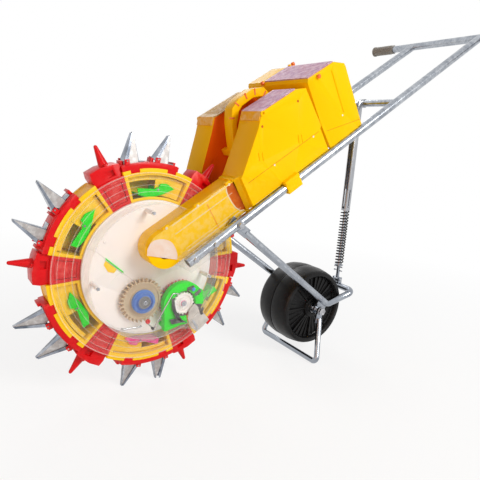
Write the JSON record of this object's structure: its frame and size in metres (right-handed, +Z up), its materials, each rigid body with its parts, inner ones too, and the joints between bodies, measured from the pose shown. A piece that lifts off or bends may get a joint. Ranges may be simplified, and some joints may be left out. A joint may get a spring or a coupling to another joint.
{
  "type": "walk-behind seed planter",
  "caption": "Walk-behind seed planter: a turning ring of hinged steel beaks with seed hoppers, press wheel, sprung fork and push handle.",
  "frame": {"origin": "on the ground, midway between the front spike of the ring and the rear of the grips, in the middle plane", "axes": "+X from the ring towards the handle, +Y to the right of a person who pushes it, +Z up"},
  "size_m": [1.1018, 0.474, 0.8326],
  "materials": {
    "tubes": "satin zinc",
    "grips": "matt",
    "disc": "satin",
    "cover": "clear",
    "yellow": "satin",
    "window": "clear",
    "lid": "cloudy",
    "green": "satin",
    "brush": "matt",
    "wire": "bright",
    "screws": "bright",
    "gear_beige": "satin",
    "gear_dark": "satin",
    "clutch": "satin",
    "gear_red": "satin",
    "seed_disc": "satin",
    "ring_yellow": "satin",
    "ring_red": "satin",
    "carrier": "satin",
    "beak": "bright",
    "flap": "bright",
    "pins": "dull",
    "ring_gear": "satin",
    "gate_green": "satin",
    "gate_pink": "satin",
    "wheel": "matt",
    "strut_steel": "satin zinc",
    "spring": "satin"
  },
  "bodies": {
    "frame": {"tube_left": "tubes", "tube_right": "tubes", "handle_bar": "tubes", "handle_grips": "grips", "cross_bar": "tubes", "core_discs": "disc", "side_covers": "cover", "seed_chutes": "yellow", "chute_windows": "window", "hopper_left": "yellow", "hopper_right": "yellow", "rear_box": "yellow", "carry_handle": "yellow", "metering_housing": "green", "brush_pads": "brush", "wire_clips": "wire", "frame_screws": "screws", "fork_bolts": "screws"},
    "drum": {"segments_yellow": "ring_yellow", "segments_red": "ring_red", "beak_carriers": "carrier", "beaks_fixed": "beak", "ring_pins": "pins", "ring_gear": "ring_gear"},
    "drive": {"drive_gear": "gear_beige", "drive_pinion": "gear_dark", "clutch_ring": "clutch"},
    "metering": {"metering_gear": "gear_red", "seed_disc": "seed_disc", "metering_shaft": "screws"},
    "lid_left": {"lid_left": "lid"},
    "lid_right": {"lid_right": "lid"},
    "lid_rear": {"lid_rear": "lid"},
    "gate_1": {"gate_1": "gate_green"},
    "gate_2": {"gate_2": "gate_green"},
    "gate_3": {"gate_3": "gate_green"},
    "gate_4": {"gate_4": "gate_pink"},
    "gate_5": {"gate_5": "gate_green"},
    "gate_6": {"gate_6": "gate_green"},
    "beak_flap_1": {"beak_flap_1": "flap"},
    "beak_flap_2": {"beak_flap_2": "flap"},
    "beak_flap_3": {"beak_flap_3": "flap"},
    "beak_flap_4": {"beak_flap_4": "flap"},
    "beak_flap_5": {"beak_flap_5": "flap"},
    "beak_flap_6": {"beak_flap_6": "flap"},
    "beak_flap_7": {"beak_flap_7": "flap"},
    "beak_flap_8": {"beak_flap_8": "flap"},
    "beak_flap_9": {"beak_flap_9": "flap"},
    "beak_flap_10": {"beak_flap_10": "flap"},
    "beak_flap_11": {"beak_flap_11": "flap"},
    "beak_flap_12": {"beak_flap_12": "flap"},
    "fork": {"fork": "tubes", "axle": "screws", "fork_fasteners": "screws"},
    "wheel": {"press_wheel": "wheel"},
    "stand": {"stand": "tubes"},
    "strut": {"strut_channel": "strut_steel", "strut_spring": "spring"},
    "rod": {"strut_rod": "strut_steel", "cotter_pins": "wire"}
  },
  "joints": [
    {"name": "lid_left_hinge", "type": "hinge", "parent": "frame", "child": "lid_left", "pos_m": [-0.10022, -0.032, 0.58099], "axis": [-0.829, 0, -0.5592], "range_deg": [0, 110]},
    {"name": "lid_right_hinge", "type": "hinge", "parent": "frame", "child": "lid_right", "pos_m": [-0.10022, 0.032, 0.58099], "axis": [0.829, 0, 0.5592], "range_deg": [0, 110]},
    {"name": "lid_rear_hinge", "type": "hinge", "parent": "frame", "child": "lid_rear", "pos_m": [-0.10268, 0.04, 0.58464], "axis": [-0.829, 0, -0.5592], "range_deg": [0, 110]},
    {"name": "drum_spin", "type": "hinge", "parent": "frame", "child": "drum", "pos_m": [-0.3096, 0, 0.24762], "axis": [0, 1, 0], "continuous": true},
    {"name": "drive_spin", "type": "hinge", "parent": "frame", "child": "drive", "pos_m": [-0.32812, 0, 0.18923], "axis": [0, 1, 0], "continuous": true},
    {"name": "metering_spin", "type": "hinge", "parent": "frame", "child": "metering", "pos_m": [-0.24869, 0, 0.17969], "axis": [0, 1, 0], "continuous": true},
    {"name": "gate_1_pivot", "type": "hinge", "parent": "drum", "child": "gate_1", "pos_m": [-0.30056, 0, 0.39534], "axis": [0, 1, 0], "range_deg": [0, 33]},
    {"name": "gate_2_pivot", "type": "hinge", "parent": "drum", "child": "gate_2", "pos_m": [-0.43301, 0, 0.3293], "axis": [0, 1, 0], "range_deg": [-2, 31]},
    {"name": "gate_3_pivot", "type": "hinge", "parent": "drum", "child": "gate_3", "pos_m": [-0.44205, 0, 0.18158], "axis": [0, 1, 0], "range_deg": [-10, 23]},
    {"name": "gate_4_pivot", "type": "hinge", "parent": "drum", "child": "gate_4", "pos_m": [-0.31863, 0, 0.09989], "axis": [0, 1, 0], "range_deg": [-18, 15]},
    {"name": "gate_5_pivot", "type": "hinge", "parent": "drum", "child": "gate_5", "pos_m": [-0.18618, 0, 0.16593], "axis": [0, 1, 0], "range_deg": [-30, 3]},
    {"name": "gate_6_pivot", "type": "hinge", "parent": "drum", "child": "gate_6", "pos_m": [-0.17715, 0, 0.31365], "axis": [0, 1, 0], "range_deg": [-4, 29]},
    {"name": "flap_1_pivot", "type": "hinge", "parent": "drum", "child": "beak_flap_1", "pos_m": [-0.13004, 0, 0.34179], "axis": [0, -1, 0], "range_deg": [0, 18], "stiffness_Nm_per_rad": 0.2, "springref_deg": -8.59},
    {"name": "flap_2_pivot", "type": "hinge", "parent": "drum", "child": "beak_flap_2", "pos_m": [-0.16512, 0, 0.38987], "axis": [0, -1, 0], "range_deg": [0, 18], "stiffness_Nm_per_rad": 0.2, "springref_deg": -8.59},
    {"name": "flap_3_pivot", "type": "hinge", "parent": "drum", "child": "beak_flap_3", "pos_m": [-0.30137, 0, 0.4502], "axis": [0, -1, 0], "range_deg": [0, 18], "stiffness_Nm_per_rad": 0.2, "springref_deg": -8.59},
    {"name": "flap_4_pivot", "type": "hinge", "parent": "drum", "child": "beak_flap_4", "pos_m": [-0.36055, 0, 0.44386], "axis": [0, -1, 0], "range_deg": [0, 18], "stiffness_Nm_per_rad": 0.2, "springref_deg": -8.59},
    {"name": "flap_5_pivot", "type": "hinge", "parent": "drum", "child": "beak_flap_5", "pos_m": [-0.48093, 0, 0.35603], "axis": [0, -1, 0], "range_deg": [0, 18], "stiffness_Nm_per_rad": 0.2, "springref_deg": -8.59},
    {"name": "flap_6_pivot", "type": "hinge", "parent": "drum", "child": "beak_flap_6", "pos_m": [-0.50503, 0, 0.30161], "axis": [0, -1, 0], "range_deg": [0, 18], "stiffness_Nm_per_rad": 0.2, "springref_deg": -8.59},
    {"name": "flap_7_pivot", "type": "hinge", "parent": "drum", "child": "beak_flap_7", "pos_m": [-0.48915, 0, 0.15344], "axis": [0, -1, 0], "range_deg": [0, 18], "stiffness_Nm_per_rad": 0.2, "springref_deg": -8.59},
    {"name": "flap_8_pivot", "type": "hinge", "parent": "drum", "child": "beak_flap_8", "pos_m": [-0.45407, 0, 0.10536], "axis": [0, -1, 0], "range_deg": [0, 18], "stiffness_Nm_per_rad": 0.2, "springref_deg": -8.59},
    {"name": "flap_9_pivot", "type": "hinge", "parent": "drum", "child": "beak_flap_9", "pos_m": [-0.31782, 0, 0.04503], "axis": [0, -1, 0], "range_deg": [0, 18], "stiffness_Nm_per_rad": 0.2, "springref_deg": -8.59},
    {"name": "flap_10_pivot", "type": "hinge", "parent": "drum", "child": "beak_flap_10", "pos_m": [-0.25864, 0, 0.05137], "axis": [0, -1, 0], "range_deg": [-8, 10], "stiffness_Nm_per_rad": 0.2, "springref_deg": -16.59},
    {"name": "flap_11_pivot", "type": "hinge", "parent": "drum", "child": "beak_flap_11", "pos_m": [-0.13826, 0, 0.1392], "axis": [0, -1, 0], "range_deg": [0, 18], "stiffness_Nm_per_rad": 0.2, "springref_deg": -8.59},
    {"name": "flap_12_pivot", "type": "hinge", "parent": "drum", "child": "beak_flap_12", "pos_m": [-0.11417, 0, 0.19362], "axis": [0, -1, 0], "range_deg": [0, 18], "stiffness_Nm_per_rad": 0.2, "springref_deg": -8.59},
    {"name": "fork_swing", "type": "hinge", "parent": "frame", "child": "fork", "pos_m": [-0.16866, 0, 0.34268], "axis": [0, 1, 0], "range_deg": [-5.4, 0], "stiffness_Nm_per_rad": 900, "springref_deg": 2.58},
    {"name": "wheel_spin", "type": "hinge", "parent": "fork", "child": "wheel", "pos_m": [0.1164, 0, 0.12162], "axis": [0, 1, 0], "continuous": true},
    {"name": "stand_fold", "type": "hinge", "parent": "fork", "child": "stand", "pos_m": [0.1164, 0, 0.12162], "axis": [0, -1, 0], "range_deg": [0, 85]},
    {"name": "strut_swing", "type": "hinge", "parent": "frame", "child": "strut", "pos_m": [0.2414, 0, 0.61927], "axis": [0, 1, 0], "range_deg": [-2.3, 0.1]},
    {"name": "rod_slide", "type": "slide", "parent": "strut", "child": "rod", "axis": [-0.0314, 0, 0.9995], "range_m": [-0.0001, 0.0395], "deforming": ["strut_spring"]}
  ],
  "couplings": [
    {"joint": "drive_spin", "follows": "drum_spin", "ratio": 1.9608},
    {"joint": "metering_spin", "follows": "drum_spin", "ratio": -1.9608},
    {"joint": "strut_swing", "follows": "fork_swing", "ratio": 0.414},
    {"joint": "rod_slide", "follows": "fork_swing", "m_per_rad": -0.41047}
  ]
}
